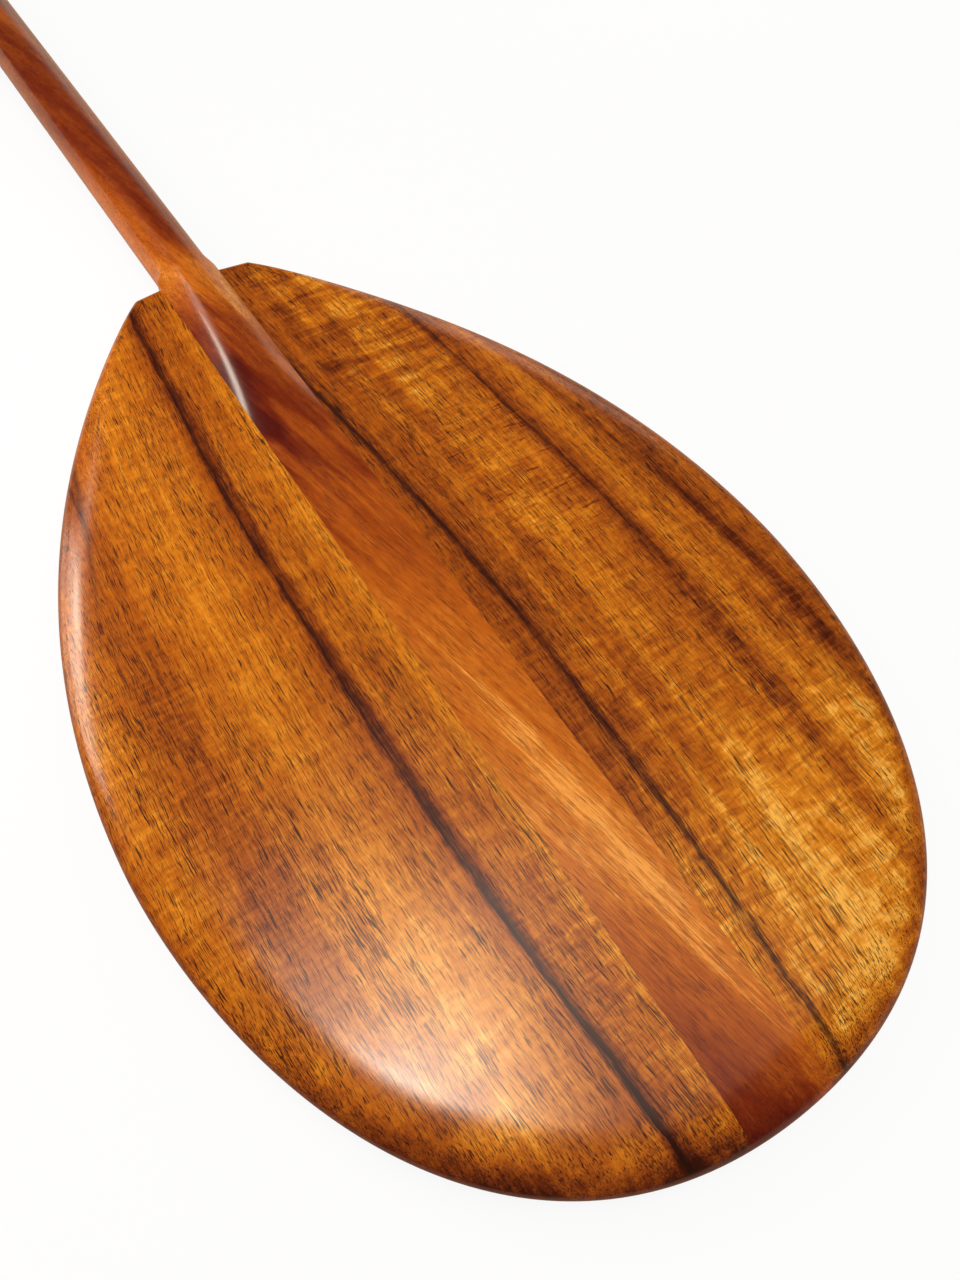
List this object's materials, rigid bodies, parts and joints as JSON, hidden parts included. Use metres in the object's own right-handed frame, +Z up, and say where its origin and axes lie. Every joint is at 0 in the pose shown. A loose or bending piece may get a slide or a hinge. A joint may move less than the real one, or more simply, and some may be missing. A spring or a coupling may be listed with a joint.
{
  "type": "outrigger canoe paddle",
  "caption": "Wooden paddle for an outrigger canoe: straight round shaft running on as the spine of a broad teardrop blade, and a pegged crossbar grip.",
  "frame": {"origin": "centre of the bounding box in x and y, on the plane that the paddle lies on, which touches the underside of the round shaft and of the crossbar", "axes": "+Y up the shaft from the blade's tip to the crossbar, +X across the blade to the right board, +Z up from the back face through the shown face"},
  "size_m": [0.33, 1.524, 0.032],
  "materials": {
    "red_hardwood": "gloss varnish over red hardwood",
    "koa_left": "gloss varnish over streaked koa",
    "koa_right": "gloss varnish over curly streaked koa",
    "grip_hardwood": "gloss varnish over red hardwood",
    "peg_hardwood": "varnished end grain"
  },
  "bodies": {
    "root": {"shaft_and_spine": "red_hardwood", "left_blade_board": "koa_left", "right_blade_board": "koa_right", "grip_crossbar": "grip_hardwood", "grip_peg": "peg_hardwood"}
  },
  "joints": []
}
